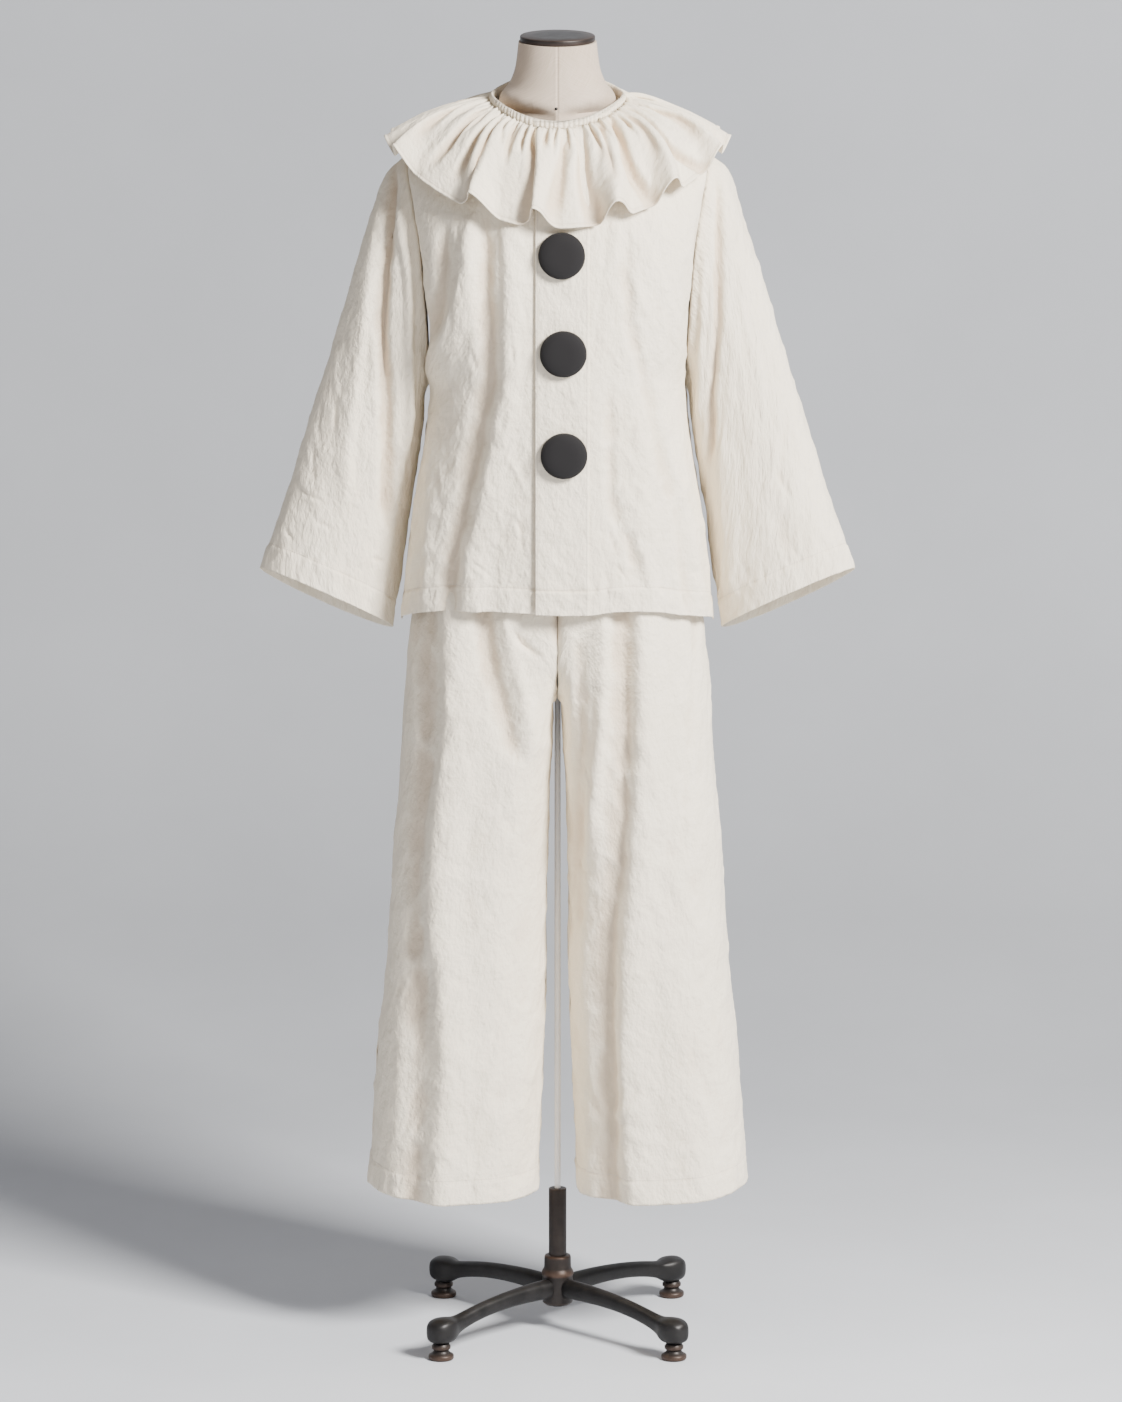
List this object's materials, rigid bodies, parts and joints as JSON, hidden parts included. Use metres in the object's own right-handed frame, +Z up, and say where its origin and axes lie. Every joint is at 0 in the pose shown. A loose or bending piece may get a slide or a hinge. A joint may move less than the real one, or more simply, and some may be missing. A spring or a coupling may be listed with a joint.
{
  "type": "clown costume on a limbless dress form and stand",
  "caption": "Loose two-piece clown costume with a gathered ruff, large covered buttons and wide legs, on a limbless linen dress form with a four-legged metal stand.",
  "frame": {"origin": "on the floor under the pole's axis, at the bottom centre of the bounding box", "axes": "+Z up, the costume faces -Y, +X towards the wearer's left"},
  "size_m": [0.7816, 0.3486, 1.7462],
  "materials": {
    "natural_cloth": "matte plain weave of undyed cotton and linen",
    "form_linen": "matte slubby linen, drawn tight",
    "covered_button": "matte charcoal cloth over a domed mould",
    "blackened_bronze": "dark bronze patina, satin, browner where it is worn",
    "pale_steel": "pale grey satin paint on steel"
  },
  "bodies": {
    "root": {"button_1": "covered_button", "button_2": "covered_button", "button_3": "covered_button", "collar_band": "natural_cloth", "collar_ruff": "natural_cloth", "form_body": "form_linen", "form_neck_cap": "blackened_bronze", "jacket_back": "natural_cloth", "jacket_front_left": "natural_cloth", "jacket_front_right": "natural_cloth", "placket_band": "natural_cloth", "sleeve_left": "natural_cloth", "sleeve_right": "natural_cloth", "stand_glide_back_left": "blackened_bronze", "stand_glide_back_right": "blackened_bronze", "stand_glide_front_left": "blackened_bronze", "stand_glide_front_right": "blackened_bronze", "stand_hub": "blackened_bronze", "stand_leg_back_left": "blackened_bronze", "stand_leg_back_right": "blackened_bronze", "stand_leg_front_left": "blackened_bronze", "stand_leg_front_right": "blackened_bronze", "stand_pole": "blackened_bronze", "stand_rod": "pale_steel", "trouser_left_back": "natural_cloth", "trouser_left_front": "natural_cloth", "trouser_right_back": "natural_cloth", "trouser_right_front": "natural_cloth", "waistband": "natural_cloth"}
  },
  "joints": []
}
